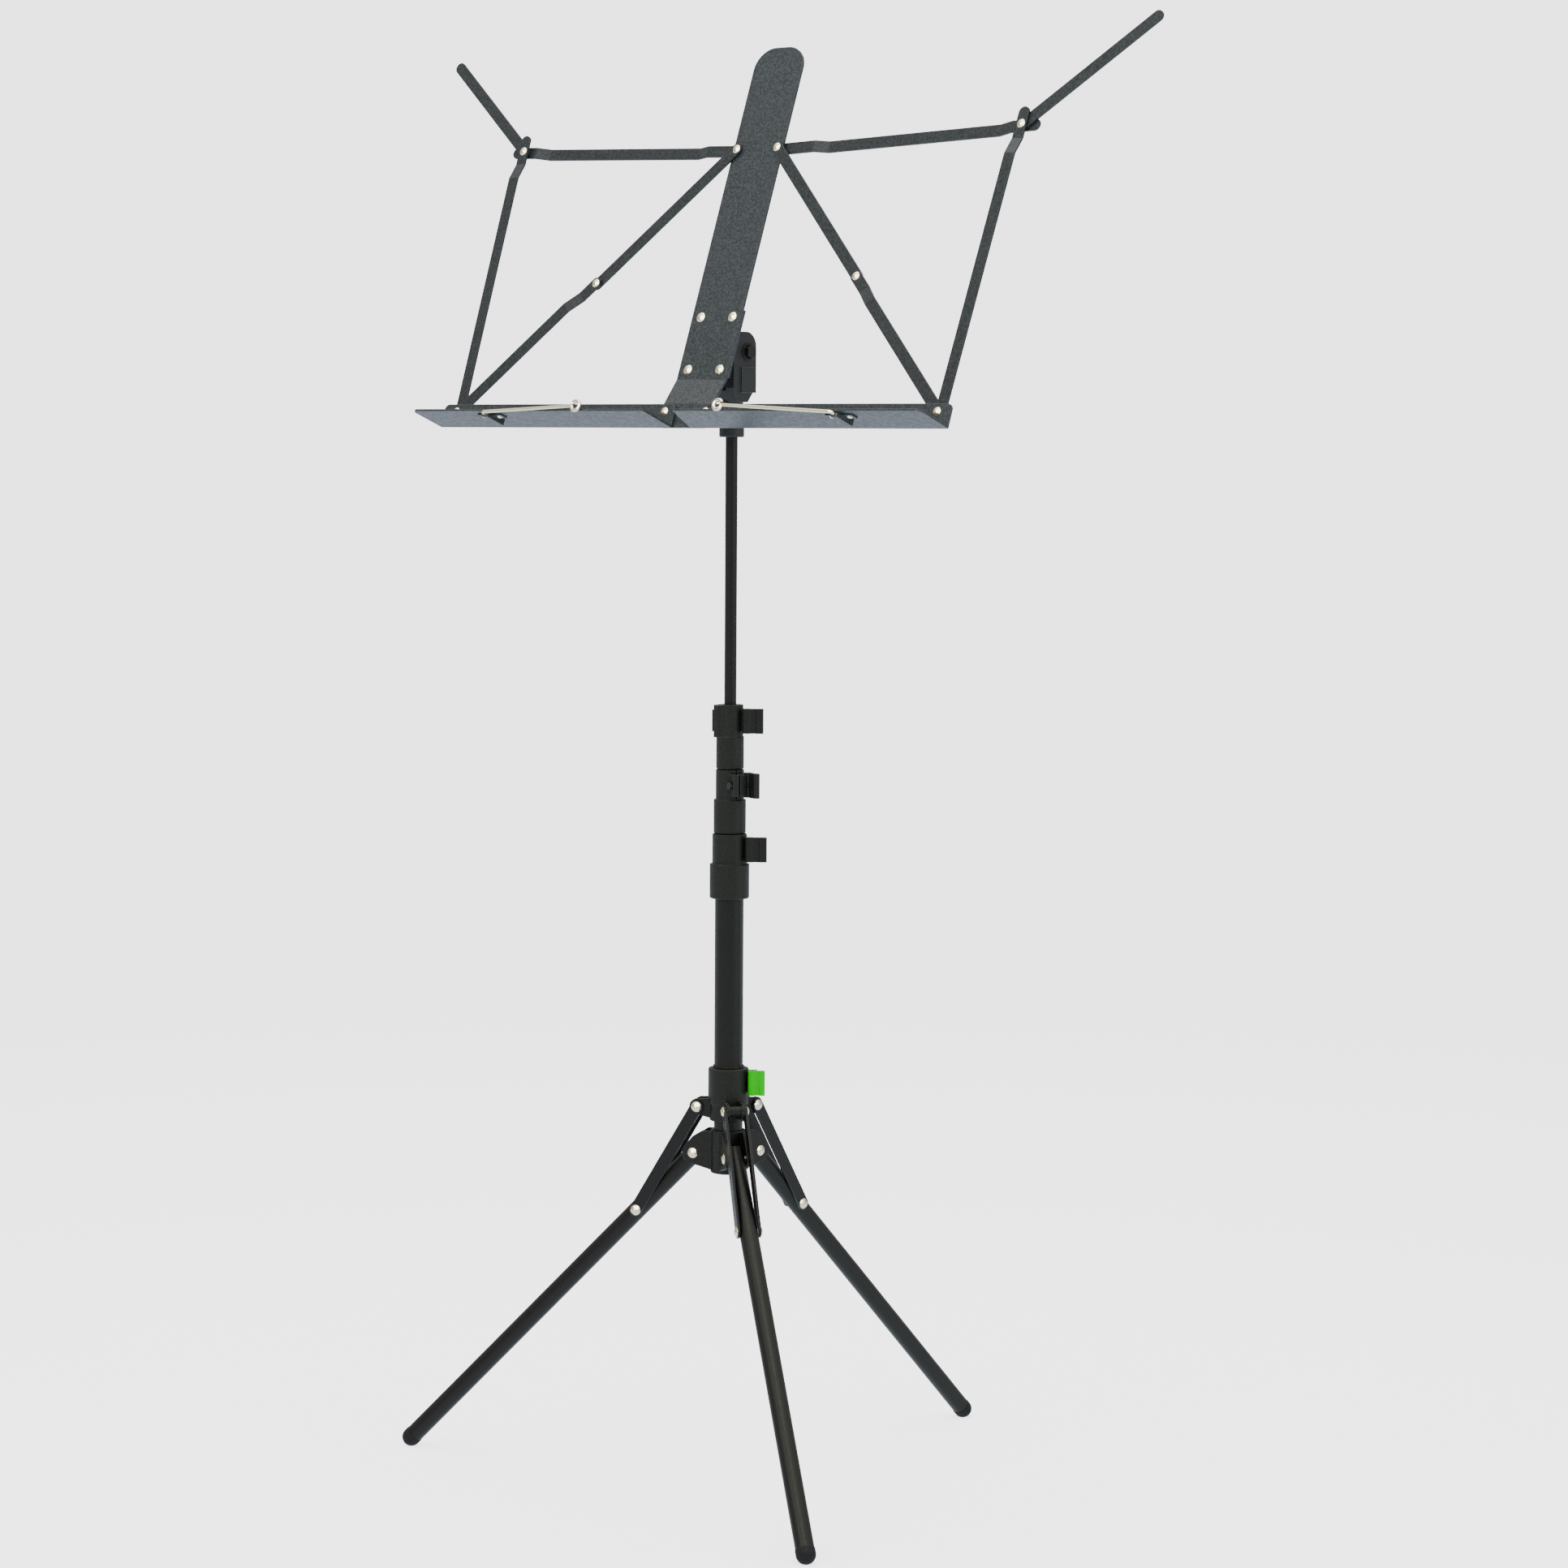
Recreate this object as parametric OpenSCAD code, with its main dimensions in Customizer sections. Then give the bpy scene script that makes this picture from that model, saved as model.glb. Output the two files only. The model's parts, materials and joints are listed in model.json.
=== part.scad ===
// Folding music stand: a tripod base, a three-draw telescopic column with cam clamps, and a
// folding desk of riveted strips with two ledge trays. The origin is the centre of the leg
// hub's underside. +Z is up and the desk faces -Y.

/* [Column] */
// Outside diameter of the main tube
main_od = 25; // [24:0.2:26]
// Outside diameter of the second tube
tube_2_od = 20; // [19.6:0.1:20.2]
// Outside diameter of the third tube
tube_3_od = 15; // [14.6:0.1:15.2]
// Diameter of the top shaft
shaft_d = 10.5; // [10:0.1:11]
// How far the top shaft stands out of the upper clamp
shaft_out = 236; // [180:1:260]
// Radial running clearance between sliding and turning parts
run_gap = 0.05; // [0.03:0.01:0.08]

/* [Tripod] */
// Turn of the first leg about the column, from +X
leg_turn = -37.5; // [-40:0.5:-35]
// Angle of an open leg from straight down
leg_spread = 44.2; // [42:0.1:46]
// Length of a leg from its pivot to the centre of its foot
leg_len = 384; // [360:1:390]
// Diameter of a leg tube
leg_od = 16; // [15:0.1:16.2]
// Distance of the leg pivots from the column's axis
leg_pivot_r = 29.4; // [29:0.1:31]
// Distance of the strut pivot from the leg pivot, along the leg
strut_on_leg = 75; // [72:0.5:78]
// Length of a strut between its pivots
strut_len = 109.6; // [107:0.1:112]
// Distance of the strut pivots on the collar from the column's axis
strut_pivot_r = 26.1; // [25.5:0.1:27]

/* [Desk] */
// Lean of the desk from upright
desk_lean = 20.5; // [10:0.5:30]
// Width of the spine plate
spine_w = 54; // [50:1:58]
// Height of the spine plate above the tray pivots
spine_top = 340; // [320:1:350]
// Distance between the tray pivot and the end pivot of a tray, and of the arm pivot above it
link_a = 245; // [230:1:250]
// Length of the upper arm and of the side arm between pivots
link_b = 254.8; // [250:0.2:258]
// Sideways distance of the spine's pivots from its centre line
pivot_u = 22.5; // [21:0.5:23]
// Width of the desk strips
strip_w = 10.4; // [9:0.1:11]
// Thickness of the desk strips
strip_t = 1.8; // [1.6:0.1:1.9]
// Length of an extension arm from its pivot to its tip
extension_len = 147; // [120:1:150]
// Angle of the open extension arms above level
extension_angle = 38.9; // [30:0.1:45]
// Depth of the tray shelves
shelf_depth = 38.5; // [32:0.5:42]

/* [Hidden] */
$fn = 64;

// colours
steel_black = [0.21, 0.22, 0.225];
plastic_black = [0.16, 0.165, 0.165];
rubber_black = [0.10, 0.10, 0.10];
nickel = [0.84, 0.83, 0.79];
lever_green = [0.0, 0.85, 0.05];

// common small sizes
part_gap = 0.3;          // clearance between faces of parts that move past each other
wall = 1.2;              // wall of every tube
pin_r = 2.5;             // rivet shank
head_r = 4.7;            // rivet heads of the tripod
head_h = 2.1;            // height of a rivet head
desk_head_r = 4;         // rivet heads of the desk
desk_head_h = 1.9;
low_head_h = 1.7;        // flatter heads on the spine's upper pivots
edge_r = 1.5;            // rounding of collar edges
cut = 0.1;               // overshoot of a cutting shape

// heights above the hub's underside
hub_h = 38;              // leg hub
foot_r = 8.4;            // rubber foot
foot_press = 0.8;        // depth of the flat worn on a foot
pivot_z = 17;            // leg pivots
collar_low_z = 46;       // lower rim of the collar's spider
collar_z = 61;           // collar body
collar_top_z = 92.4;
sleeve_a_z = 240.7;      // lower clamp, sleeve then grip
clamp_b_z = 270.8;
clamp_b_top = 296.9;
sleeve_c_z = 297.2;      // middle clamp
clamp_d_z = 326.8;
clamp_d_top = 352.7;
sleeve_e_z = 353;        // upper clamp
clamp_f_z = 381.5;
clamp_f_top = 408.9;
head_z = clamp_f_top + shaft_out;    // underside of the head
tube_2_low = 9;          // lower ends of the nested tubes
tube_3_low = 9;
shaft_low = 239;
floor_z = pivot_z - leg_len * cos(leg_spread) - foot_r + foot_press;

// collar pivots at the height that closes the strut triangle
strut_foot_r = leg_pivot_r + strut_on_leg * sin(leg_spread);
strut_foot_z = pivot_z - strut_on_leg * cos(leg_spread);
strut_pivot_z = strut_foot_z + sqrt(pow(strut_len, 2) - pow(strut_foot_r - strut_pivot_r, 2));
strut_lean = asin((strut_foot_r - strut_pivot_r) / strut_len);
link_w = 11;             // strut links
link_t = 2;
link_y = leg_od / 2 + part_gap;      // inner face of a link or ear beside the leg tube
lug_t = 2.4;             // lugs of the collar, inside the links
ear_t = 2.2;             // ears of the hub, outside the leg tube

// tilt joint of the desk
desk_fwd = 50.4;         // tray pivots in front of the column's axis
desk_z = head_z + 10.9;  // height of the tray pivots
tilt_v = 71.8;           // tilt pivot in the desk's own frame
tilt_n = -32;
tilt_y = 4.7;            // tilt pivot behind the column's axis
tilt_z = head_z + 66.9;

// layers of the desk, from the spine's rear face towards the player
spine_t = 2.5;
foot_n = 8.3;            // joggled foot of the spine
tray_n = foot_n + spine_t + part_gap;
tray_t = 1.8;
brace_up_n = spine_t + part_gap;
brace_low_n = tray_n - strip_t - part_gap;
brace_end_n = brace_up_n + strip_t + part_gap;
side_n = brace_low_n - strip_t - part_gap;
arm_n = -strip_t - part_gap;
arm_mid_n = arm_n - 4.5;
extension_n = 0;
side_top_n = strip_t + part_gap;
diag = link_a / sqrt(2);             // half brace between pivots
kite = sqrt(link_b * link_b - diag * diag);
arm_angle = atan2(kite / sqrt(2) + link_a / 2 - link_a, kite / sqrt(2) + link_a / 2);
shelf_v = -14.3;         // underside of the shelf
flange_top = 6.8;
tray_in = 11;            // inner end of a tray from the centre line
tray_out = 282;
shelf_n = tray_n + shelf_depth + tray_t;
wire_r = 1.5;            // page holders
wire_v = shelf_v - part_gap - wire_r;
wire_n = shelf_n + part_gap + 0.8 + wire_r;
holder_u = 194;
holder_len = [108, 122];   // left and right page holder
loop_r = 4.2;
bend_r = 3;
holder_rise = 3;         // slope of a stowed page holder

// ---------- helpers ----------

// a round-headed rivet standing on z = 0 with its shank down to -len
module rivet(len, rear = true, h = desk_head_h, r = desk_head_r) {
    dome(r, h);
    translate([0, 0, -len]) cylinder(r = pin_r, h = len);
    if (rear) translate([0, 0, -len - 1]) cylinder(r = r - 0.3, h = 1);
}

// a spherical cap of base radius r and height h
module dome(r, h) {
    ball = (r * r + h * h) / (2 * h);
    intersection() {
        translate([0, 0, h - ball]) sphere(r = ball, $fn = 96);
        cylinder(r = r + 1, h = h + 1);
    }
}

// a ring with a rounded rim at the bottom, the top or both
module collar_ring(r, bore, z0, z1, low = 0, high = 0) {
    translate([0, 0, z0]) rotate_extrude() difference() {
        translate([bore, 0]) square([r - bore, z1 - z0]);
        if (low > 0) translate([r - low, 0]) difference() {
            translate([0, -1]) square([low + 1, low + 1]);
            translate([0, low]) circle(r = low);
        }
        if (high > 0) translate([r - high, z1 - z0 - high]) difference() {
            square([high + 1, high + 1]);
            circle(r = high);
        }
    }
}

// an open tube
module tube(r, z0, z1, t = wall) {
    translate([0, 0, z0]) difference() {
        cylinder(r = r, h = z1 - z0);
        translate([0, 0, -cut]) cylinder(r = r - t, h = z1 - z0 + 2 * cut);
    }
}

// flat outline of a strip from x = -w/2 to x = len + over
module strip_shape(len, w, over) {
    circle(d = w);
    translate([0, -w / 2]) square([len + over - w / 2, w]);
    translate([len + over - w / 2, 0]) circle(d = w);
}

// a strip whose side view follows path, a list of [x, height of its rear face]
module bent_strip(len, w, t, over, path, holes) {
    n = len(path);
    side = concat([for (p = path) p], [for (i = [n - 1:-1:0]) [path[i][0], path[i][1] + t]]);
    intersection() {
        translate([0, 0, -20]) linear_extrude(60) difference() {
            strip_shape(len, w, over);
            for (h = holes) translate([h, 0]) circle(r = pin_r + run_gap);
        }
        rotate([90, 0, 0]) translate([0, 0, -w]) linear_extrude(2 * w) polygon(side);
    }
}

// a flat strip with its rear face at height n
module flat_strip(len, w, t, over, n, holes) {
    translate([0, 0, n]) linear_extrude(t) difference() {
        strip_shape(len, w, over);
        for (h = holes) translate([h, 0]) circle(r = pin_r + run_gap);
    }
}

// ---------- clamps ----------
lever_h = 21.4;
lever_t = 5.5;
barrel_r = 4;
ear_w = 6;               // half width of the clamping ears
ear_h = lever_h - 3;     // and their height
bolt_r = 2;
lever_pin_r = 1.5;
eye_h = 4.4;
eye_gap = 0.35;
barrel_y = ear_w + part_gap + barrel_r;

// one molded clamp: sleeve on the lower tube, grip with a split and ears for the sliding tube
module clamp(sleeve_r, sleeve_bore, z0, z1, grip_r, grip_bore, z2, ear_x, turn, back = 0) {
    difference() {
        union() {
            collar_ring(sleeve_r, grip_bore, z0, z1, edge_r, 0.8);
            collar_ring(grip_r, grip_bore, z1 - 1, z2, 0, 0.8);
            rotate(turn) translate([grip_r - 3, -ear_w, (z1 + z2) / 2 - ear_h / 2])
                cube([ear_x + 4 - grip_r + 3, 2 * ear_w, ear_h]);
            // squared back with a slotted plate on it
            if (back > 0) rotate(turn) translate([0, 0, z1 - 0.6]) {
                linear_extrude(z2 - z1) polygon([[-grip_bore - 2, -9], [2.8 - back, -9], [-back, -6.4],
                                                 [-back, 6.4], [2.8 - back, 9], [-grip_bore - 2, 9]]);
                translate([-back - 1.4, -5, 5]) cube([2, 10, z2 - z1 - 9]);
            }
        }
        translate([0, 0, z0 - cut]) cylinder(r = sleeve_bore, h = z1 - z0 - 2 + cut);
        rotate(turn) translate([0, -0.7, z1 + 1]) cube([ear_x + 5, 1.4, z2 - z1]);
        rotate(turn) translate([ear_x, 0, (z1 + z2) / 2]) rotate([90, 0, 0])
            cylinder(r = bolt_r, h = 4 * ear_w, center = true);
    }
}

// the eye bolt of a clamp with its nut and the lever's pin; side is +1 or -1
module clamp_bolt(z, ear_x, side, turn) {
    rotate(turn) translate([ear_x, 0, z]) {
        rotate([-90 * side, 0, 0]) translate([0, 0, -ear_w - 3])
            cylinder(r = bolt_r, h = ear_w + 3 + barrel_y);
        rotate([-90 * side, 0, 0]) translate([0, 0, -ear_w - 3.2]) cylinder(r = 3.6, h = 3.2, $fn = 6);
        translate([0, side * barrel_y, 0]) {
            cylinder(r = lever_pin_r, h = lever_h - 0.4, center = true);
            cylinder(r = 3, h = eye_h - 2 * eye_gap, center = true);
        }
    }
}

// plan of a lever: barrel at the origin, thin web, and a thicker grip that ends at x = len
module lever_shape(len) {
    grip = len * 0.52;
    circle(r = barrel_r);
    polygon([[-1, barrel_r - lever_t], [len - 1.6, barrel_r - lever_t], [len, 0.1], [len, 2.4],
             [len - 1.2, 3.7], [grip + 1.2, barrel_r], [grip, 2.5], [3.4, 2.5], [1.8, 3.57], [0, barrel_r]]);
}

// a cam lever that turns on the bolt's pin
module cam_lever(z, ear_x, side, turn, reach) {
    rotate(turn) translate([ear_x, side * barrel_y, z]) difference() {
        mirror([0, side < 0 ? 1 : 0, 0]) linear_extrude(lever_h, center = true)
            lever_shape(reach - ear_x + 1.2);
        cylinder(r = lever_pin_r + run_gap, h = lever_h + 1, center = true);
        // slot for the bolt's eye, covered by the lever's outer face
        cylinder(r = barrel_r - 0.6, h = eye_h, center = true);
        intersection() {
            cylinder(r = barrel_r + 0.6, h = eye_h, center = true);
            translate([-10, side > 0 ? -20 : -0.4, -10]) cube([20, 20.4, 20]);
        }
    }
}

// ---------- column ----------
clamp_turn = 40;         // direction of the lower, upper and collar levers
middle_turn = -23;       // direction of the middle lever
ear_b = 17;
ear_d = 14.6;
ear_f = 14.3;
ear_c = 21;
lever_z_b = (clamp_b_z + clamp_b_top) / 2;
lever_z_d = (clamp_d_z + clamp_d_top) / 2;
lever_z_f = (clamp_f_z + clamp_f_top) / 2;
lever_z_c = collar_top_z - 12.1;

module main_tube() {
    color(steel_black) tube(main_od / 2, 2, sleeve_a_z + 28);
}

module lower_clamp() {
    color(plastic_black)
        clamp(17.2, main_od / 2, sleeve_a_z, clamp_b_z, 15, tube_2_od / 2 + run_gap, clamp_b_top,
              ear_b, clamp_turn);
}

module lower_clamp_bolt() {
    color(steel_black) clamp_bolt(lever_z_b, ear_b, -1, clamp_turn);
}

module lower_lever() {
    color(plastic_black) cam_lever(lever_z_b, ear_b, -1, clamp_turn, 31);
}

// second tube, with a swaged lower end that runs in the main tube
module tube_2() {
    color(steel_black) {
        tube(tube_2_od / 2, tube_2_low, sleeve_c_z + 27.6);
        collar_ring(main_od / 2 - wall - run_gap, tube_2_od / 2 - wall, tube_2_low,
                    tube_2_low + 12, 0.8, 0.8);
    }
}

module middle_clamp() {
    color(plastic_black)
        clamp(14, tube_2_od / 2, sleeve_c_z, clamp_d_z, 12.3, tube_3_od / 2 + run_gap, clamp_d_top,
              ear_d, middle_turn);
}

module middle_clamp_bolt() {
    color(steel_black) clamp_bolt(lever_z_d, ear_d, 1, middle_turn);
}

module middle_lever() {
    color(plastic_black) cam_lever(lever_z_d, ear_d, 1, middle_turn, 29);
}

// third tube, with a swaged lower end that runs in the second tube
module tube_3() {
    color(steel_black) {
        tube(tube_3_od / 2, tube_3_low, sleeve_e_z + 26.5);
        collar_ring(tube_2_od / 2 - wall - run_gap, tube_3_od / 2 - wall, tube_3_low,
                    tube_3_low + 12, 0.6, 0.6);
    }
}

module upper_clamp() {
    color(plastic_black)
        clamp(12, tube_3_od / 2, sleeve_e_z, clamp_f_z, 11.4, shaft_d / 2 + run_gap, clamp_f_top,
              ear_f, clamp_turn, 14.3);
}

module upper_clamp_bolt() {
    color(steel_black) clamp_bolt(lever_z_f, ear_f, -1, clamp_turn);
}

module upper_lever() {
    color(plastic_black) cam_lever(lever_z_f, ear_f, -1, clamp_turn, 27.5);
}

module top_shaft() {
    color(steel_black) {
        translate([0, 0, shaft_low]) cylinder(d = shaft_d, h = head_z + 20 - shaft_low);
        collar_ring(tube_3_od / 2 - wall - run_gap, shaft_d / 2 - 0.5, shaft_low, shaft_low + 12, 0.5, 0.5);
    }
}

// ---------- tripod ----------
module leg_hub() {
    color(plastic_black) difference() {
        union() {
            collar_ring(15.4, 8, 0, hub_h, edge_r, edge_r);
            for (k = [0:2]) rotate(leg_turn + 120 * k) for (s = [-1, 1])
                translate([0, s * (link_y + ear_t / 2), 0]) rotate([90, 0, 0])
                    translate([0, 0, -ear_t / 2]) linear_extrude(ear_t) hub_ear_shape();
        }
        translate([0, 0, 2]) cylinder(d = main_od, h = hub_h);
        translate([0, 0, -cut]) cylinder(r = 9, h = 3);
        for (k = [0:2]) rotate(leg_turn + 120 * k) translate([leg_pivot_r, 0, pivot_z])
            rotate([90, 0, 0]) cylinder(r = pin_r, h = 40, center = true);
    }
}

// side view of one hub ear, x outwards and y up
module hub_ear_shape() {
    translate([leg_pivot_r, pivot_z]) circle(r = 9.4);
    polygon([[12, 3], [12, 37], [21, 37], [29, 32], [36, 24], [38, 20], [33.5, 8.6]]);
}

module hub_rivets() {
    color(nickel) for (k = [0:2]) rotate(leg_turn + 120 * k) translate([leg_pivot_r, 0, pivot_z]) {
        rotate([90, 0, 0]) cylinder(r = pin_r, h = 2 * (link_y + ear_t), center = true);
        for (s = [-1, 1]) rotate([-90 * s, 0, 0]) translate([0, 0, link_y + ear_t]) dome(head_r, head_h);
    }
}

// closes the foot of the column; its underside is the origin's face
module hub_plug() {
    color(plastic_black) {
        cylinder(r = 9, h = 2);
        translate([0, 0, 2]) cylinder(r = main_od / 2 - wall, h = 5);
    }
}

module leg_collar() {
    color(plastic_black) difference() {
        union() {
            collar_ring(17.6, main_od / 2 + run_gap, collar_z, collar_top_z, 0, edge_r);
            collar_ring(16.4, main_od / 2 + run_gap, collar_low_z, collar_z + 1, edge_r, 0);
            for (k = [0:2]) rotate(leg_turn + 120 * k) for (s = [-1, 1])
                translate([0, s * (link_y - part_gap - lug_t / 2), 0]) rotate([90, 0, 0])
                    translate([0, 0, -lug_t / 2]) linear_extrude(lug_t) collar_lug_shape();
            // boss around each strut pin, between its two lugs
            for (k = [0:2]) rotate(leg_turn + 120 * k) translate([strut_pivot_r, 0, strut_pivot_z])
                rotate([90, 0, 0]) cylinder(r = 4.8, h = 2 * (link_y - part_gap) - 1, center = true);
            rotate(clamp_turn) translate([14.6, -ear_w, lever_z_c - ear_h / 2])
                cube([ear_c + 4 - 14.6, 2 * ear_w, ear_h]);
        }
        rotate(clamp_turn) translate([0, -0.7, collar_z + 4]) cube([ear_c + 5, 1.4, 40]);
        translate([0, 0, collar_low_z - 5]) cylinder(r = main_od / 2 + run_gap, h = 60);
        for (k = [0:2]) rotate(leg_turn + 120 * k) translate([strut_pivot_r, 0, strut_pivot_z])
            rotate([90, 0, 0]) cylinder(r = pin_r, h = 40, center = true);
        rotate(clamp_turn) translate([ear_c, 0, lever_z_c]) rotate([90, 0, 0])
            cylinder(r = bolt_r, h = 4 * ear_w, center = true);
    }
}

// side view of one collar lug
module collar_lug_shape() {
    translate([strut_pivot_r, strut_pivot_z]) circle(r = 7);
    polygon([[12.9, collar_low_z + 2], [12.9, strut_pivot_z + 8], [24, strut_pivot_z + 7],
             [30, strut_pivot_z - 5.8], [20, collar_low_z + 3.5]]);
}

module collar_rivets() {
    color(nickel) for (k = [0:2]) rotate(leg_turn + 120 * k) translate([strut_pivot_r, 0, strut_pivot_z]) {
        rotate([90, 0, 0]) cylinder(r = pin_r, h = 2 * (link_y + link_t + part_gap), center = true);
        for (s = [-1, 1]) rotate([-90 * s, 0, 0]) translate([0, 0, link_y + link_t + part_gap])
            dome(head_r, head_h);
    }
}

module collar_bolt() {
    color(steel_black) clamp_bolt(lever_z_c, ear_c, -1, clamp_turn);
}

module collar_lever() {
    color(lever_green) cam_lever(lever_z_c, ear_c, -1, clamp_turn, 30.4);
}

// places a child in one leg's plane, with its x axis along the leg from the pivot
module on_leg(k) {
    rotate(leg_turn + 120 * k) translate([leg_pivot_r, 0, pivot_z])
        rotate([0, 90 - leg_spread, 0]) children();
}

module leg_tube(k) {
    color(steel_black) on_leg(k) difference() {
        rotate([0, 90, 0]) translate([0, 0, -8]) difference() {
            cylinder(d = leg_od, h = leg_len + 4);
            translate([0, 0, -cut]) cylinder(d = leg_od - 2 * wall, h = leg_len + 4 + 2 * cut);
        }
        rotate([90, 0, 0]) cylinder(r = pin_r + run_gap, h = 40, center = true);
    }
}

module leg_foot(k) {
    color(rubber_black) difference() {
        on_leg(k) rotate([0, 90, 0]) difference() {
            union() {
                translate([0, 0, leg_len - 4]) cylinder(r = foot_r, h = 4);
                difference() {
                    translate([0, 0, leg_len]) sphere(r = foot_r);
                    translate([0, 0, leg_len - 24]) cylinder(r = foot_r + 2, h = 20);
                }
                translate([0, 0, leg_len - 18]) cylinder(d = leg_od - 2 * wall, h = 16);
            }
            translate([0, 0, leg_len - 18 - cut]) cylinder(r = 4, h = 10);
        }
        translate([-400, -400, floor_z - 20]) cube([800, 800, 20]);
    }
}

// the pair of links of one strut, either side of the leg tube
module strut_links(k) {
    color(steel_black) rotate(leg_turn + 120 * k) translate([strut_pivot_r, 0, strut_pivot_z])
        for (s = [-1, 1]) translate([0, s * (link_y + link_t / 2), 0]) rotate([90, 0, 0])
            rotate(strut_lean - 90) translate([0, 0, -link_t / 2]) linear_extrude(link_t) difference() {
                strip_shape(strut_len, link_w, link_w / 2);
                circle(r = pin_r + run_gap);
                translate([strut_len, 0]) circle(r = pin_r);
            }
}

// rivet ends that close a strut's links on the leg
module strut_rivets(k) {
    color(nickel) rotate(leg_turn + 120 * k) translate([strut_foot_r, 0, strut_foot_z]) for (s = [-1, 1])
        rotate([-90 * s, 0, 0]) {
            translate([0, 0, link_y]) cylinder(r = pin_r, h = link_t);
            translate([0, 0, link_y + link_t]) dome(head_r, head_h);
        }
}

// ---------- head ----------
cheek_w = 14;            // half width of the head
slot_w = 5;              // half width of its slot

module head_block() {
    color(plastic_black) difference() {
        union() {
            collar_ring(10.8, shaft_d / 2 - 1, head_z - 6, head_z + 9, edge_r, 0);
            translate([0, 0, head_z + 8]) cylinder(r = 9.8, h = 22);
            translate([-cheek_w, 0, 0]) rotate([90, 0, 90]) linear_extrude(2 * cheek_w) head_shape();
            for (s = [-1, 1]) translate([s * cheek_w, 0, 0]) rotate([90, 0, 90])
                translate([-5, head_z + 32, -1.2]) linear_extrude(2.4) square([19, 22]);
        }
        translate([-slot_w, -60, head_z + 34]) cube([2 * slot_w, 120, 80]);
        translate([0, 0, head_z - 7]) cylinder(d = shaft_d, h = 27);
        translate([0, tilt_y, tilt_z]) rotate([0, 90, 0]) cylinder(r = 3, h = 60, center = true);
    }
}

// side view of the head, x backwards and y up
module head_shape() {
    difference() {
        polygon([[-9, head_z + 24], [4.5, head_z + 24], [15.6, head_z + 37], [15.6, head_z + 84],
                 [-14, head_z + 84], [-14, head_z + 36]]);
        translate([2.6, head_z + 71]) difference() {
            square(14);
            circle(r = 13);
        }
        translate([-4, head_z + 74]) difference() {
            translate([-11, 0]) square(11);
            circle(r = 10);
        }
    }
}

// cross bolt of the tilt joint with its nut
module tilt_bolt() {
    color(plastic_black) translate([0, tilt_y, tilt_z]) rotate([0, 90, 0]) {
        cylinder(r = 3, h = 2 * cheek_w + 2, center = true);
        for (s = [-1, 1]) translate([0, 0, s * (cheek_w + 2.4)])
            cylinder(r = 6, h = 4.8, center = true, $fn = 6);
    }
}

// ---------- desk ----------
// the desk's own frame: x sideways, y up the desk, z towards the player
module desk() {
    translate([0, -desk_fwd, desk_z]) rotate([90 - desk_lean, 0, 0]) children();
}

module spine() {
    path = [[-30, foot_n], [8, foot_n], [33, 0], [spine_top + 10, 0]];
    side = concat(path, [for (i = [3:-1:0]) [path[i][0], path[i][1] + spine_t]]);
    color(steel_black) desk() intersection() {
        translate([0, 0, -5]) linear_extrude(30) difference() {
            union() {
                translate([-spine_w / 2, -9]) square([spine_w, spine_top - 20 + 9]);
                translate([-spine_w / 2 + 4.5, -13.5]) square([spine_w - 9, 20]);
                for (s = [-1, 1]) {
                    translate([s * (spine_w / 2 - 4.5), -9]) circle(r = 4.5);
                    translate([s * (spine_w / 2 - 20), spine_top - 20]) circle(r = 20);
                }
                translate([-spine_w / 2 + 20, spine_top - 30]) square([spine_w - 40, 30]);
            }
            for (s = [-1, 1]) {
                translate([s * pivot_u, 0]) circle(r = pin_r);
                translate([s * pivot_u, link_a]) circle(r = pin_r);
                for (v = rivet_rows) translate([s * rivet_u, v]) circle(r = pin_r);
            }
        }
        rotate([90, 0, 90]) translate([0, 0, -spine_w]) linear_extrude(2 * spine_w) polygon(side);
    }
}
rivet_rows = [42, 90];
rivet_u = 17.6;
bracket_t = 2.5;

module tilt_bracket() {
    color(steel_black) desk() difference() {
        union() {
            translate([-spine_w / 2, 36, -bracket_t]) cube([spine_w, 61, bracket_t]);
            translate([-slot_w + part_gap, 0, 0]) rotate([90, 0, 90])
                linear_extrude(2 * (slot_w - part_gap)) {
                    translate([tilt_v, tilt_n]) circle(r = 11);
                    polygon([[tilt_v - 18, -1], [tilt_v - 11, tilt_n], [tilt_v + 11, tilt_n], [tilt_v + 18, -1]]);
                }
        }
        for (s = [-1, 1]) for (v = rivet_rows) translate([s * rivet_u, v, -6]) cylinder(r = pin_r, h = 10);
        translate([0, tilt_v, tilt_n]) rotate([0, 90, 0]) cylinder(r = 3 + run_gap, h = 30, center = true);
    }
}

module spine_rivets() {
    color(nickel) desk() for (s = [-1, 1]) for (v = rivet_rows)
        translate([s * rivet_u, v, spine_t]) rivet(spine_t + bracket_t, true, 2.1, 4.6);
}

// rivets that hold the trays, and the braces and arms, on the spine
module desk_pivot_rivets() {
    color(nickel) desk() for (s = [-1, 1]) {
        translate([s * pivot_u, 0, tray_n + tray_t + 0.1]) rivet(tray_t + spine_t + 0.4);
        translate([s * pivot_u, link_a, brace_up_n + strip_t + 0.1])
            rivet(brace_up_n + strip_t + 0.2 - arm_n, true, low_head_h);
    }
}

// ---------- trays ----------
// everything below is drawn for the right-hand side and mirrored for the left
module side(s) {
    desk() mirror([s < 0 ? 1 : 0, 0, 0]) children();
}

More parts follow.
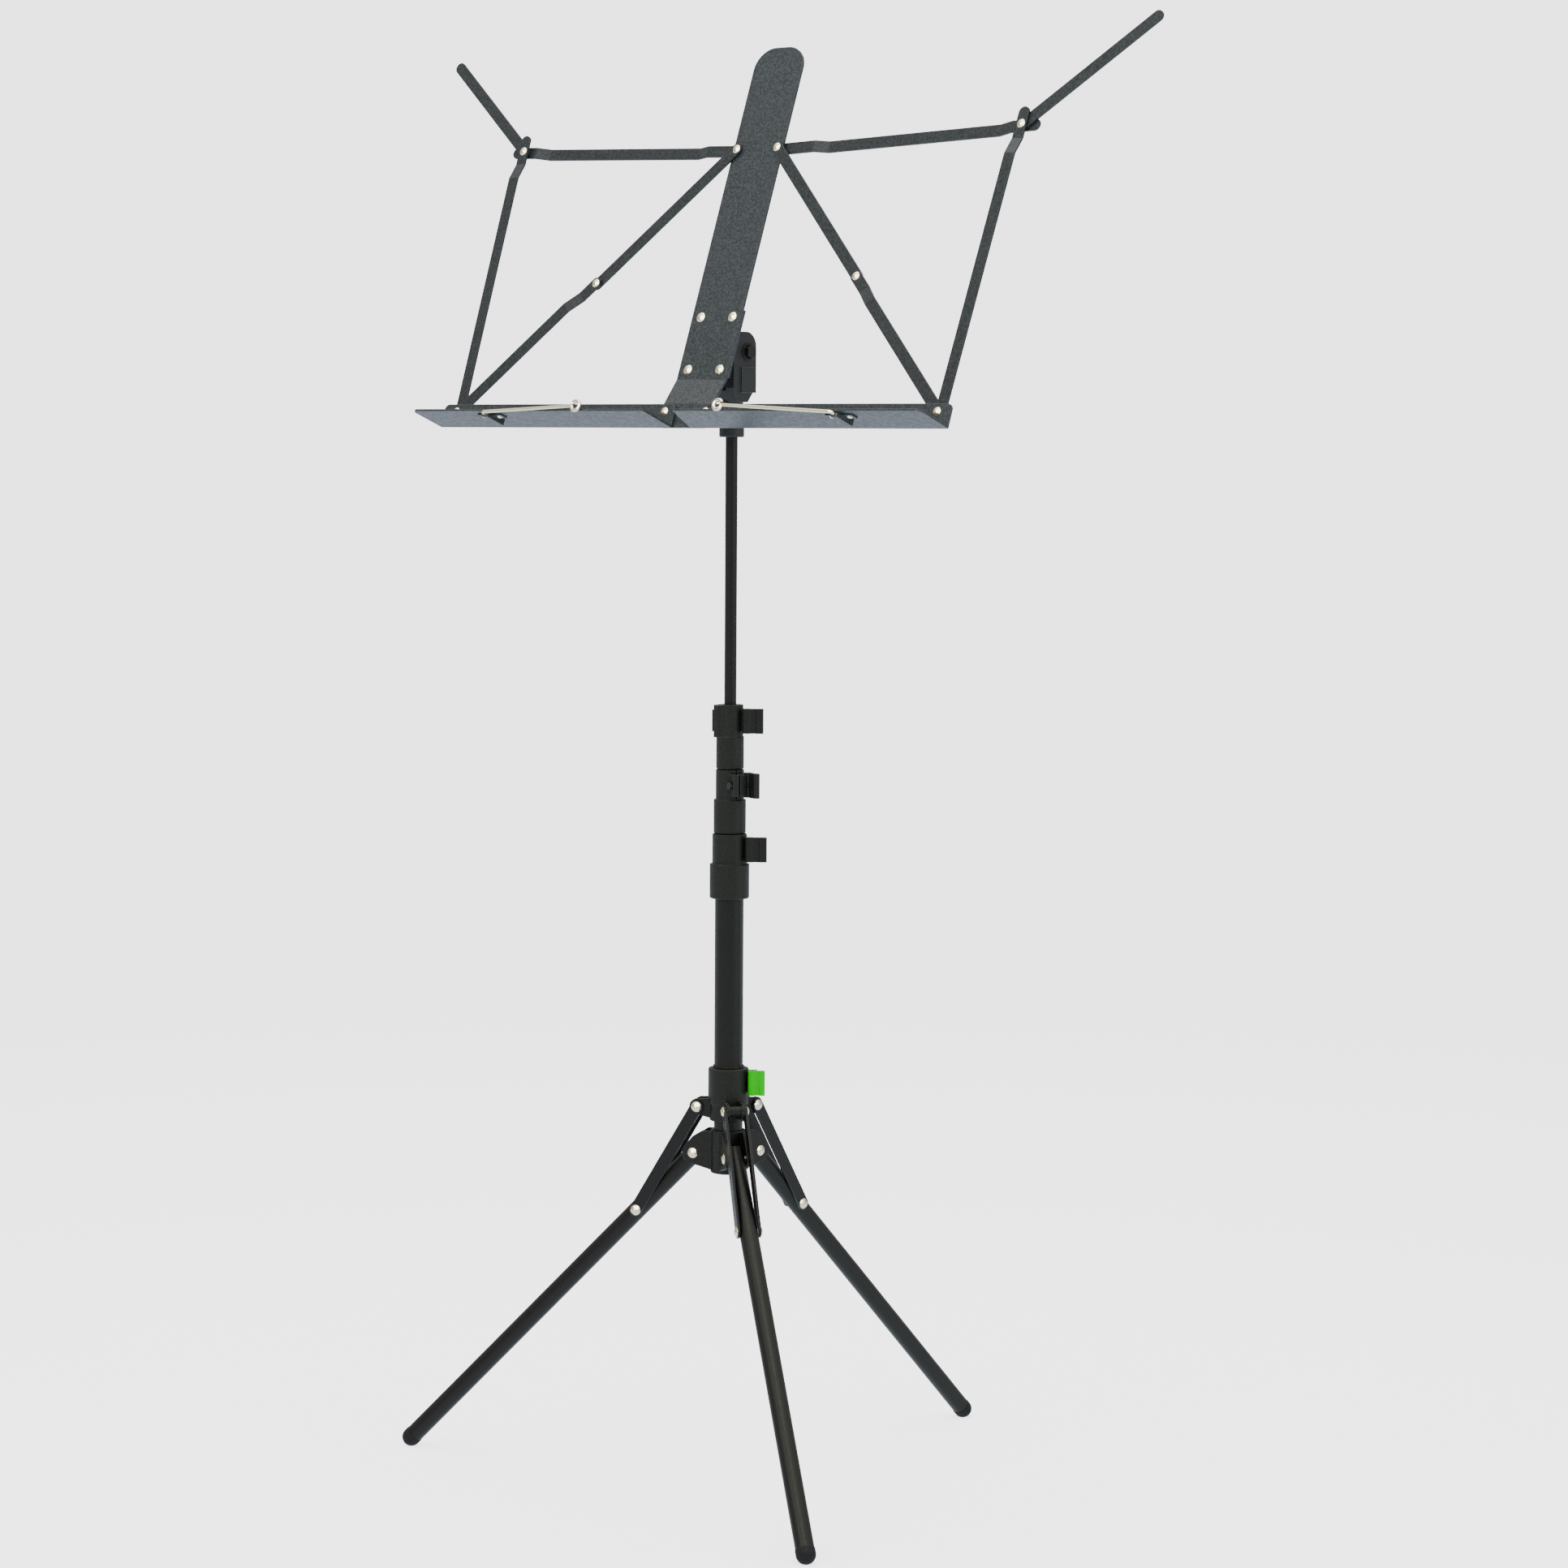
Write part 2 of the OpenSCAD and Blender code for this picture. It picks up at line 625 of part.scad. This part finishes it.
module tray(s) {
    slant = s > 0 ? 11 : 0;
    color(steel_black) side(s) difference() {
        union() {
            // flange in the desk's plane
            translate([0, 0, tray_n]) linear_extrude(tray_t) {
                translate([tray_in, shelf_v]) square([tray_out - tray_in, 10]);
                translate([tray_in + 5, shelf_v]) square([tray_out - tray_in - 10, flange_top - shelf_v]);
                translate([tray_in + 5, flange_top - 5]) circle(r = 5);
                translate([tray_out - 5, flange_top - 5]) circle(r = 5);
                translate([tray_in, shelf_v + 5]) square([tray_out - tray_in, flange_top - 5 - shelf_v - 5]);
            }
            // shelf standing out towards the player
            translate([0, shelf_v, 0]) rotate([-90, 0, 0]) mirror([0, 1, 0]) linear_extrude(tray_t) difference() {
                union() {
                    translate([tray_in, tray_n]) square([tray_out - tray_in, shelf_n - 6 - tray_n]);
                    translate([tray_in + slant, tray_n]) square([tray_out - 6 - tray_in - slant, shelf_n - tray_n]);
                    translate([tray_out - 6, shelf_n - 6]) circle(r = 6);
                }
                polygon([[tray_in - 1, tray_n + 3], [tray_in, tray_n + 3], [tray_in + slant, shelf_n + 1],
                         [tray_in - 1, shelf_n + 1]]);
            }
        }
        translate([pivot_u, 0, 0]) cylinder(r = pin_r + run_gap, h = 60);
        translate([pivot_u + link_a, 0, 0]) cylinder(r = pin_r, h = 60);
        for (d = [-1, 1]) translate([holder_u + d * 9, shelf_v - 5, shelf_n - 11]) rotate([-90, 0, 0])
            cylinder(r = 1.5, h = 10);
    }
}

// bracket under the shelf with a channel for the wire, drawn in the shelf's plane
module holder_bracket(s) {
    color(steel_black) side(s) difference() {
        union() {
            translate([holder_u - 14, shelf_v - 1.2, shelf_n - 15]) cube([28, 1.2, 8]);
            translate([holder_u - 3.2, shelf_v - 4.4, shelf_n - 24]) cube([6.4, 4.4, 22]);
        }
        translate([holder_u, wire_v, shelf_n - 30]) cylinder(r = wire_r + run_gap, h = 40);
        for (d = [-1, 1]) translate([holder_u + d * 9, shelf_v - 5, shelf_n - 11]) rotate([-90, 0, 0])
            cylinder(r = 1.5, h = 10);
    }
}

// the end pivot of a tray and the two small rivets of its holder bracket
module tray_rivets(s) {
    color(nickel) side(s) {
        translate([pivot_u + link_a, 0, tray_n + tray_t]) rivet(tray_n + tray_t - side_n, false);
        for (d = [-1, 1]) translate([holder_u + d * 9, shelf_v - 1.2, shelf_n - 11]) rotate([90, 0, 0]) {
            dome(2.6, 1.2);
            translate([0, 0, -3]) cylinder(r = 1.5, h = 3);
        }
    }
}

// an arc of wire from the +x axis, turned by sweep about the origin
module wire_arc(bend, sweep, r = wire_r) {
    rotate_extrude(angle = sweep) translate([bend, 0]) circle(r = r, $fn = 32);
}

// wire page holder: short leg in the bracket, long leg along the shelf's front, eye at its end
module page_holder(s) {
    len = holder_len[s < 0 ? 0 : 1];
    color(nickel) side(s) translate([holder_u, wire_v, wire_n]) {
        translate([0, 0, -bend_r - 24]) cylinder(r = wire_r, h = 24);
        rotate([0, 0, 180 - holder_rise]) {
            translate([bend_r, 0, -bend_r]) rotate([90, 0, 0]) rotate(90) wire_arc(bend_r, 90);
            translate([bend_r, 0, 0]) rotate([0, 90, 0]) cylinder(r = wire_r, h = len - bend_r - loop_r);
            translate([len, 0, 0]) rotate(-150) wire_arc(loop_r, 330, wire_r + 0.12);
        }
    }
}

// ---------- folding arms ----------
// upper arm, from the spine to the desk's corner, with the stud that carries the extension
module arm(s) {
    color(steel_black) side(s) translate([pivot_u, link_a, 0]) rotate(arm_angle) {
        bent_strip(link_b, strip_w, strip_t, 16,
            [[-10, arm_n], [37, arm_n], [50, arm_mid_n], [link_b - 27, arm_mid_n], [link_b - 12, arm_n],
             [link_b + 20, arm_n]], [0]);
        translate([link_b, 0, arm_n + 0.5]) cylinder(r = pin_r, h = extension_n + strip_t - arm_n - 0.5);
    }
}

module side_arm(s) {
    color(steel_black) side(s) translate([pivot_u + link_a, 0, 0]) rotate(90 - arm_angle)
        bent_strip(link_b, strip_w, strip_t, 15,
            [[-10, side_n], [link_b - 28, side_n], [link_b - 13, side_top_n], [link_b + 20, side_top_n]],
            [0, link_b]);
}

module corner_rivet(s) {
    color(nickel) side(s) translate([pivot_u + link_a, 0, 0]) rotate(90 - arm_angle)
        translate([link_b, 0, side_top_n]) {
            translate([0, 0, strip_t]) dome(desk_head_r, desk_head_h);
            cylinder(r = pin_r + run_gap, h = strip_t);
        }
}

module brace_upper(s) {
    color(steel_black) side(s) translate([pivot_u, link_a, 0]) rotate(-45)
        flat_strip(diag, strip_w, strip_t, strip_w / 2, brace_up_n, [0]);
}

module brace_lower(s) {
    color(steel_black) side(s) translate([pivot_u + link_a, 0, 0]) rotate(135)
        bent_strip(diag, strip_w, strip_t, strip_w / 2,
            [[-10, brace_low_n], [diag - 34, brace_low_n], [diag - 18, brace_end_n], [diag + 10, brace_end_n]],
            [0, diag]);
}

module brace_rivet(s) {
    color(nickel) side(s) translate([pivot_u + link_a, 0, 0]) rotate(135) translate([diag, 0, brace_end_n]) {
        translate([0, 0, strip_t]) dome(desk_head_r, desk_head_h);
        cylinder(r = pin_r + run_gap, h = strip_t);
    }
}

module extension(s) {
    color(steel_black) side(s) translate([pivot_u, link_a, 0]) rotate(arm_angle) translate([link_b, 0, 0])
        rotate(extension_angle - arm_angle) flat_strip(extension_len, strip_w, strip_t, 0, extension_n, [0]);
}

main_tube();
leg_hub();
hub_rivets();
hub_plug();
lower_clamp();
lower_clamp_bolt();
lower_lever();
leg_collar();
collar_rivets();
collar_bolt();
collar_lever();
leg_tube(0);  // leg_tube_1
leg_tube(1);  // leg_tube_2
leg_tube(2);  // leg_tube_3
leg_foot(0);  // leg_foot_1
leg_foot(1);  // leg_foot_2
leg_foot(2);  // leg_foot_3
strut_links(0);  // strut_links_1
strut_links(1);  // strut_links_2
strut_links(2);  // strut_links_3
strut_rivets(0);  // strut_rivets_1
strut_rivets(1);  // strut_rivets_2
strut_rivets(2);  // strut_rivets_3
tube_2();
middle_clamp();
middle_clamp_bolt();
middle_lever();
tube_3();
upper_clamp();
upper_clamp_bolt();
upper_lever();
top_shaft();
head_block();
tilt_bolt();
spine();
tilt_bracket();
spine_rivets();
desk_pivot_rivets();
tray(-1);  // tray_left
tray(1);  // tray_right
holder_bracket(-1);  // holder_bracket_left
holder_bracket(1);  // holder_bracket_right
tray_rivets(-1);  // tray_rivets_left
tray_rivets(1);  // tray_rivets_right
arm(-1);  // arm_left
arm(1);  // arm_right
side_arm(-1);  // side_arm_left
side_arm(1);  // side_arm_right
corner_rivet(-1);  // corner_rivet_left
corner_rivet(1);  // corner_rivet_right
brace_upper(-1);  // brace_upper_left
brace_upper(1);  // brace_upper_right
brace_lower(-1);  // brace_lower_left
brace_lower(1);  // brace_lower_right
brace_rivet(-1);  // brace_rivet_left
brace_rivet(1);  // brace_rivet_right
extension(-1);  // extension_left
extension(1);  // extension_right
page_holder(-1);  // page_holder_left
page_holder(1);  // page_holder_right
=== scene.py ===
import bmesh
import bpy
import json
import math
from mathutils import Matrix, Vector


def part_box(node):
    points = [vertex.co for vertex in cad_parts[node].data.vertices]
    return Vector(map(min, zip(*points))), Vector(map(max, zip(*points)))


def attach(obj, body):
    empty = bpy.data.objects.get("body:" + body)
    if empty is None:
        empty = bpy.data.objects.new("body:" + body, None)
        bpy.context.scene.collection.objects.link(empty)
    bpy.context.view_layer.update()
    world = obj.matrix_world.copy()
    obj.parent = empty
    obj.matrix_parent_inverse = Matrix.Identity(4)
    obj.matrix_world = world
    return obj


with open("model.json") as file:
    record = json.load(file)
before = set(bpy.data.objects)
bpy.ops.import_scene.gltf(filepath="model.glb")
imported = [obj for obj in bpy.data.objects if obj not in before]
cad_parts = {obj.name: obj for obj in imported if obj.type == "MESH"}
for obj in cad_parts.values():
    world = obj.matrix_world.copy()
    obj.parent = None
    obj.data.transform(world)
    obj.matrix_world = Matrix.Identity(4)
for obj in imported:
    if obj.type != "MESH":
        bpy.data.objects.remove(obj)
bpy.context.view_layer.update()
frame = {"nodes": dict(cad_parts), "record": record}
nodes = frame["nodes"]


# ---------- node helpers ----------
def new_material(name):
    """An empty node material: the material, its tree and its output node."""
    m = bpy.data.materials.new(name)
    m.use_nodes = True
    m.node_tree.nodes.clear()
    out = m.node_tree.nodes.new("ShaderNodeOutputMaterial")
    return m, m.node_tree, out


def noise(t, co, scale, detail=2.0, rough=0.5):
    n = t.nodes.new("ShaderNodeTexNoise")
    n.inputs["Scale"].default_value = scale
    n.inputs["Detail"].default_value = detail
    n.inputs["Roughness"].default_value = rough
    t.links.new(co, n.inputs["Vector"])
    return n.outputs["Fac"]


def spread(t, value, lo, hi, low=0.0, high=1.0):
    """value mapped smoothly from the range lo to hi onto low to high."""
    n = t.nodes.new("ShaderNodeMapRange")
    n.interpolation_type = "SMOOTHSTEP"
    for key, v in zip(("From Min", "From Max", "To Min", "To Max"), (lo, hi, low, high)):
        n.inputs[key].default_value = v
    t.links.new(value, n.inputs["Value"])
    return n.outputs["Result"]


def blend_colour(t, fac, a, b):
    """A blend of two colours, each a tuple or a socket."""
    n = t.nodes.new("ShaderNodeMix")
    n.data_type = "RGBA"
    t.links.new(fac, n.inputs[0])
    for socket, v in ((n.inputs[6], a), (n.inputs[7], b)):
        if isinstance(v, tuple):
            socket.default_value = (*v, 1.0)
        else:
            t.links.new(v, socket)
    return n.outputs[2]


def edge_mask(t, radius, lo, hi):
    """1 on convex and concave edges narrower than radius, 0 on open faces."""
    bevel = t.nodes.new("ShaderNodeBevel")
    bevel.samples = 8
    bevel.inputs["Radius"].default_value = radius
    geo = t.nodes.new("ShaderNodeNewGeometry")
    dot = t.nodes.new("ShaderNodeVectorMath")
    dot.operation = "DOT_PRODUCT"
    t.links.new(bevel.outputs[0], dot.inputs[0])
    t.links.new(geo.outputs["Normal"], dot.inputs[1])
    return spread(t, dot.outputs["Value"], lo, hi, 1.0, 0.0), bevel.outputs[0]


def bump(t, height, strength, distance, normal=None):
    n = t.nodes.new("ShaderNodeBump")
    n.inputs["Strength"].default_value = strength
    n.inputs["Distance"].default_value = distance
    t.links.new(height, n.inputs["Height"])
    if normal is not None:
        t.links.new(normal, n.inputs["Normal"])
    return n.outputs["Normal"]


def coated(name, dark, light, edge_highlight, rough, grain, height, specular, edge_r=0.0006,
           flecks=(0.34, 0.68), tint=1.0):
    """A grained surface: speckled colour, uneven roughness, a painted highlight along edges and creases, and a
    fine bump.

    grain is the number of grains per metre, height the strength of the bump, edge_r the width in metres
    of the painted edge highlight, flecks the noise range between dark and light, and tint the blue of the gloss.
    """
    m, t, out = new_material(name)
    co = t.nodes.new("ShaderNodeTexCoord").outputs["Object"]
    fine = noise(t, co, grain, 3.0, 0.6)
    broad = noise(t, co, 14.0, 2.0)
    speckle = blend_colour(t, spread(t, fine, *flecks), dark, light)
    drift = spread(t, broad, 0.3, 0.7, 0.0, 0.35)
    tone = blend_colour(t, drift, speckle, tuple(0.5 * (a + b) for a, b in zip(dark, light)))
    # painted highlight: every edge and crease narrower than edge_r gets the lighter edge colour
    highlight_mask, rounded = edge_mask(t, edge_r, 0.86, 0.995)
    colour = blend_colour(t, highlight_mask, tone, edge_highlight)
    p = t.nodes.new("ShaderNodeBsdfPrincipled")
    t.links.new(colour, p.inputs["Base Color"])
    uneven = spread(t, noise(t, co, grain * 0.45, 2.0), 0.3, 0.7, rough - 0.05, rough + 0.06)
    t.links.new(uneven, p.inputs["Roughness"])
    t.links.new(bump(t, noise(t, co, grain * 0.8, 2.0), height, 0.0003, rounded), p.inputs["Normal"])
    p.inputs["Specular IOR Level"].default_value = specular
    p.inputs["Specular Tint"].default_value = (1.0, 0.99, tint, 1.0)
    t.links.new(p.outputs[0], out.inputs["Surface"])
    return m


def bright_metal(name, base, shade, rough, scratch):
    """A polished metal with a faint mottle, fine scratches and rounded edges."""
    m, t, out = new_material(name)
    co = t.nodes.new("ShaderNodeTexCoord").outputs["Object"]
    tone = blend_colour(t, spread(t, noise(t, co, 420.0, 3.0), 0.3, 0.75), base, shade)
    p = t.nodes.new("ShaderNodeBsdfPrincipled")
    p.inputs["Metallic"].default_value = 1.0
    t.links.new(tone, p.inputs["Base Color"])
    uneven = spread(t, noise(t, co, 900.0, 2.0), 0.3, 0.7, rough - 0.04, rough + 0.08)
    t.links.new(uneven, p.inputs["Roughness"])
    rounded = edge_mask(t, 0.0003, 0.9, 0.99)[1]
    t.links.new(bump(t, noise(t, co, scratch, 2.0), 0.12, 0.0001, rounded), p.inputs["Normal"])
    t.links.new(p.outputs[0], out.inputs["Surface"])
    return m


# each edge colour below is a painted highlight along edges and creases
MATS = {
    "steel_tube": coated(
        "tube_coat", dark=(0.0025, 0.0027, 0.0026), light=(0.0085, 0.0088, 0.0080), edge_highlight=(0.032, 0.034, 0.033),
        rough=0.36, grain=1000.0, height=0.35, specular=0.30, tint=0.86),
    "desk_steel": coated(
        "desk_coat", dark=(0.013, 0.0170, 0.0182), light=(0.046, 0.0555, 0.0575), edge_highlight=(0.080, 0.091, 0.094),
        rough=0.37, grain=500.0, height=0.60, specular=0.46, edge_r=0.0007, flecks=(0.39, 0.64)),
    "plastic": coated(
        "moulded_black", dark=(0.005, 0.0055, 0.0048), light=(0.0150, 0.0163, 0.0140), edge_highlight=(0.06, 0.064, 0.060),
        rough=0.46, grain=800.0, height=0.45, specular=0.28, edge_r=0.0007, tint=0.86),
    "lever_plastic": coated(
        "lever_black", dark=(0.004, 0.0044, 0.0040), light=(0.0115, 0.0130, 0.0112), edge_highlight=(0.05, 0.054, 0.05),
        rough=0.44, grain=900.0, height=0.40, specular=0.28, edge_r=0.0006, tint=0.86),
    "rubber": coated(
        "rubber_black", dark=(0.006, 0.0062, 0.0060), light=(0.015, 0.0155, 0.015), edge_highlight=(0.03, 0.031, 0.03),
        rough=0.70, grain=1300.0, height=0.45, specular=0.25, edge_r=0.0006),
    "nickel": bright_metal(
        "nickel_plate", base=(1.0, 0.915, 0.68), shade=(0.93, 0.83, 0.54), rough=0.14, scratch=1600.0),
    "green_plastic": coated(
        "lever_green", dark=(0.0, 0.50, 0.0), light=(0.0, 0.62, 0.0), edge_highlight=(0.0, 0.76, 0.0),
        rough=0.50, grain=1500.0, height=0.20, specular=0.06, edge_r=0.0006),
}
# painted shade: a darker copy of desk_coat for the arm, brace and extension strips, with a narrower painted edge
# highlight
STRIP_SHADED_COAT = coated(
    "strip_shaded_coat", dark=(0.008, 0.0102, 0.0106), light=(0.030, 0.0365, 0.0375), edge_highlight=(0.052, 0.060, 0.062),
    rough=0.37, grain=520.0, height=0.55, specular=0.40, edge_r=0.0005, flecks=(0.38, 0.65))
# painted highlight: a copy of tube_coat whose edge colour is much brighter and wider, for the strut links
STRUT_HIGHLIGHT_COAT = coated(
    "strut_highlight_coat", dark=(0.003, 0.0032, 0.0032), light=(0.0095, 0.0100, 0.0095), edge_highlight=(0.085, 0.092, 0.092),
    rough=0.36, grain=1000.0, height=0.35, specular=0.32, edge_r=0.0008, tint=0.92)
# painted light: a lighter copy of moulded_black for the head block, with a brighter painted edge highlight
HEAD_LIT_BLACK = coated(
    "head_lit_black", dark=(0.008, 0.0088, 0.0080), light=(0.024, 0.0262, 0.0235), edge_highlight=(0.07, 0.075, 0.070),
    rough=0.46, grain=800.0, height=0.45, specular=0.36, edge_r=0.0008)
STRIPS = ("arm_", "side_arm_", "brace_upper_", "brace_lower_", "extension_")
for part in frame["record"]["subparts"]:
    o = nodes[part["node"]]
    coat = MATS[part["material_slot"]]
    # painted light and shade: the head block takes the lighter copy, the strut links the brighter-edged copy,
    # the strips the darker copy
    if part["node"] == "head_block":
        coat = HEAD_LIT_BLACK
    elif part["node"].startswith("strut_links_"):
        coat = STRUT_HIGHLIGHT_COAT
    elif part["node"].startswith(STRIPS):
        coat = STRIP_SHADED_COAT
    o.data.materials.clear()
    o.data.materials.append(coat)


# ---------- small turned pieces ----------
def turned(name, profile, place, body, slot, axis="Z", steps=96):
    """A ring turned about axis from a closed (radius, height) profile in mm."""
    bm = bmesh.new()
    rows = []
    for i in range(steps):
        a = 2 * math.pi * i / steps
        row = []
        for r, h in profile:
            v = Vector((r * math.cos(a), r * math.sin(a), h))
            if axis == "X":
                v = Vector((v.z, v.x, v.y))
            row.append(bm.verts.new(v / 1000 + Vector(place)))
        rows.append(row)
    for i in range(steps):
        here, there = rows[i], rows[(i + 1) % steps]
        for j in range(len(profile)):
            k = (j + 1) % len(profile)
            bm.faces.new((here[j], there[j], there[k], here[k]))
    bmesh.ops.recalc_face_normals(bm, faces=bm.faces)
    mesh = bpy.data.meshes.new(name)
    bm.to_mesh(mesh)
    bm.free()
    for f in mesh.polygons:
        f.use_smooth = True
    o = bpy.data.objects.new(name, mesh)
    bpy.context.scene.collection.objects.link(o)
    mesh.materials.append(MATS[slot])
    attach(o, body)


def corner(r, h, size, quarter):
    """Four points of a rounded profile corner whose outer tip is (r, h)."""
    sx, sy = ((1, 1), (-1, 1), (-1, -1), (1, -1))[quarter]
    pts = []
    for k in range(4):
        a = math.radians(30 * k)
        pts.append((r - sx * size * (1 - math.cos(a)), h - sy * size * (1 - math.sin(a))))
    return pts if quarter in (0, 2) else pts[::-1]


def washer(inner, outer, low, high, soft):
    """Closed profile of a flat ring with rounded corners."""
    return (corner(outer, high, soft, 0) + corner(inner, high, soft, 1) +
            corner(inner, low, soft, 2) + corner(outer, low, soft, 3))


SUNK = 0.0002           # how far the lip and the floor sit in or under what they touch
NUT_DEPTH = 0.0048      # thickness of the tilt bolt's nuts
LIP = washer(inner=12.72, outer=13.5, low=0.0, high=2.4, soft=0.35)
TILT_WASHER = washer(inner=3.1, outer=8.0, low=-0.2, high=0.9, soft=0.3)
turned("collar_lip", LIP, (0, 0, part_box("leg_collar")[1].z - SUNK), "collar", "plastic")
bolt_low, bolt_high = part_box("tilt_bolt")
bolt_mid = (bolt_low + bolt_high) / 2
for side, sign in (("left", -1), ("right", 1)):
    turned("tilt_washer_" + side, [(r, sign * h) for r, h in TILT_WASHER],
           (sign * (bolt_high.x - NUT_DEPTH), bolt_mid.y, bolt_mid.z), "upper_draw", "plastic", axis="X")

# ---------- camera ----------
# the camera looks from 40 degrees round the stand; lights are placed in the same turned frame
turn = Matrix.Rotation(math.radians(40), 3, "Z")
CAMERA_PLACE = Vector((0, -3.4416, 0.6334))
LENS_MM = 91.62
yaw, pitch, roll = -0.0136, 0.085, 0.0062    # radians
up = Vector((0, 0, 1))
ahead = Vector((-math.sin(yaw), math.cos(yaw), 0))
right = Vector((math.cos(yaw), math.sin(yaw), 0))
look = ahead * math.cos(pitch) - up * math.sin(pitch)
top = up * math.cos(pitch) + ahead * math.sin(pitch)
axis_x = turn @ (right * math.cos(roll) + top * math.sin(roll))
axis_y = turn @ (top * math.cos(roll) - right * math.sin(roll))
axis_z = turn @ -look
cam = bpy.data.objects.new("camera", bpy.data.cameras.new("camera"))
cam.data.lens = LENS_MM
cam.data.sensor_width = 36.0
cam.data.clip_start, cam.data.clip_end = 0.1, 400.0
cam.matrix_world = Matrix.Translation(turn @ CAMERA_PLACE) @ \
    Matrix((axis_x, axis_y, axis_z)).transposed().to_4x4()
bpy.context.scene.collection.objects.link(cam)
bpy.context.scene.camera = cam

# ---------- floor, backdrop and light ----------
PALE = 3.1              # brightness of the backdrop and of the far floor
NEAR_DROP = 0.75        # how much less the floor glows near the stand, where the lights fall on it
FLOOR_HALF = 150.0      # half the floor's width in metres
SKY_LEVEL = (0.56, 0.565, 0.555)
SKY_ABOVE = (1.45, 1.46, 1.45)
SKY_BELOW = (1.20, 1.33, 1.52)      # stands in for the light that a pale floor sends up
floor_mesh = bpy.data.meshes.new("floor")
s, z = FLOOR_HALF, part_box("leg_foot_1")[0].z - SUNK
floor_mesh.from_pydata([(-s, -s, z), (s, -s, z), (s, s, z), (-s, s, z)], [], [(0, 1, 2, 3)])
floor = bpy.data.objects.new("floor", floor_mesh)
bpy.context.scene.collection.objects.link(floor)
m, t, out = new_material("pale_floor")
co = t.nodes.new("ShaderNodeTexCoord").outputs["Object"]
length = t.nodes.new("ShaderNodeVectorMath")
length.operation = "LENGTH"
t.links.new(co, length.inputs[0])
far = spread(t, length.outputs["Value"], 0.5, 3.5, 0.0, 1.0)
glow = t.nodes.new("ShaderNodeEmission")
glow.inputs["Color"].default_value = (1, 1, 1, 1)
glow.inputs["Strength"].default_value = PALE
soft = t.nodes.new("ShaderNodeBsdfDiffuse")
t.links.new(blend_colour(t, noise(t, co, 40.0), (0.88, 0.88, 0.88), (0.92, 0.92, 0.92)), soft.inputs["Color"])
dim = t.nodes.new("ShaderNodeEmission")
dim.inputs["Strength"].default_value = PALE - NEAR_DROP
add = t.nodes.new("ShaderNodeAddShader")
t.links.new(soft.outputs[0], add.inputs[0])
t.links.new(dim.outputs[0], add.inputs[1])
mix = t.nodes.new("ShaderNodeMixShader")
t.links.new(far, mix.inputs[0])
t.links.new(add.outputs[0], mix.inputs[1])
t.links.new(glow.outputs[0], mix.inputs[2])
t.links.new(mix.outputs[0], out.inputs["Surface"])
floor_mesh.materials.append(m)
floor.visible_diffuse = floor.visible_glossy = floor.visible_shadow = False

world = bpy.data.worlds.new("studio")
bpy.context.scene.world = world
world.use_nodes = True
t = world.node_tree
t.nodes.clear()
seen = t.nodes.new("ShaderNodeBackground")
seen.inputs["Color"].default_value = (PALE, PALE, PALE, 1)
ambient = t.nodes.new("ShaderNodeBackground")
ray = t.nodes.new("ShaderNodeSeparateXYZ")
t.links.new(t.nodes.new("ShaderNodeTexCoord").outputs["Generated"], ray.inputs[0])
below = spread(t, ray.outputs["Z"], -0.30, 0.05, 1.0, 0.0)
above = spread(t, ray.outputs["Z"], 0.30, 0.95, 0.0, 1.0)
sky = blend_colour(t, above, SKY_LEVEL, SKY_ABOVE)
t.links.new(blend_colour(t, below, sky, SKY_BELOW), ambient.inputs["Color"])
path = t.nodes.new("ShaderNodeLightPath")
mix = t.nodes.new("ShaderNodeMixShader")
t.links.new(path.outputs["Is Camera Ray"], mix.inputs[0])
t.links.new(ambient.outputs[0], mix.inputs[1])
t.links.new(seen.outputs[0], mix.inputs[2])
wout = t.nodes.new("ShaderNodeOutputWorld")
t.links.new(mix.outputs[0], wout.inputs["Surface"])


def softbox(name, place, aim, size, power, colour=(1, 1, 1), only=()):
    """A rectangular light; with only, it lights just those objects."""
    data = bpy.data.lights.new(name, "AREA")
    data.shape = "RECTANGLE"
    data.size, data.size_y = size
    data.energy = power
    data.color = colour
    o = bpy.data.objects.new(name, data)
    o.location = place
    o.visible_camera = False
    o.rotation_euler = (Vector(aim) - Vector(place)).to_track_quat("-Z", "Y").to_euler()
    bpy.context.scene.collection.objects.link(o)
    if only:
        lit = bpy.data.collections.new(name + "_receivers")
        for item in only:
            lit.objects.link(item)
        o.light_linking.receiver_collection = lit


bright = [nodes[part["node"]] for part in frame["record"]["subparts"] if part["material_slot"] == "nickel"]
softbox("bank", turn @ Vector((-0.3, -2.0, 1.5)), (0, 0, 0.5), (4.4, 3.0), 230, (1.0, 0.95, 0.78), bright)
softbox("key", turn @ Vector((-2.2, -2.4, 2.4)), (0, 0, 0.4), (1.6, 2.0), 40)
softbox("fill", turn @ Vector((2.8, -1.6, 1.2)), (0, 0, 0.4), (1.2, 2.2), 18, (0.97, 0.98, 1.0))
softbox("ridge", turn @ Vector((0.15, -1.0, 3.0)), (0, 0, 0.1), (0.6, 2.4), 17)
softbox("top", turn @ Vector((0.0, 0.4, 3.2)), (0, 0, 0.3), (2.6, 2.0), 32)
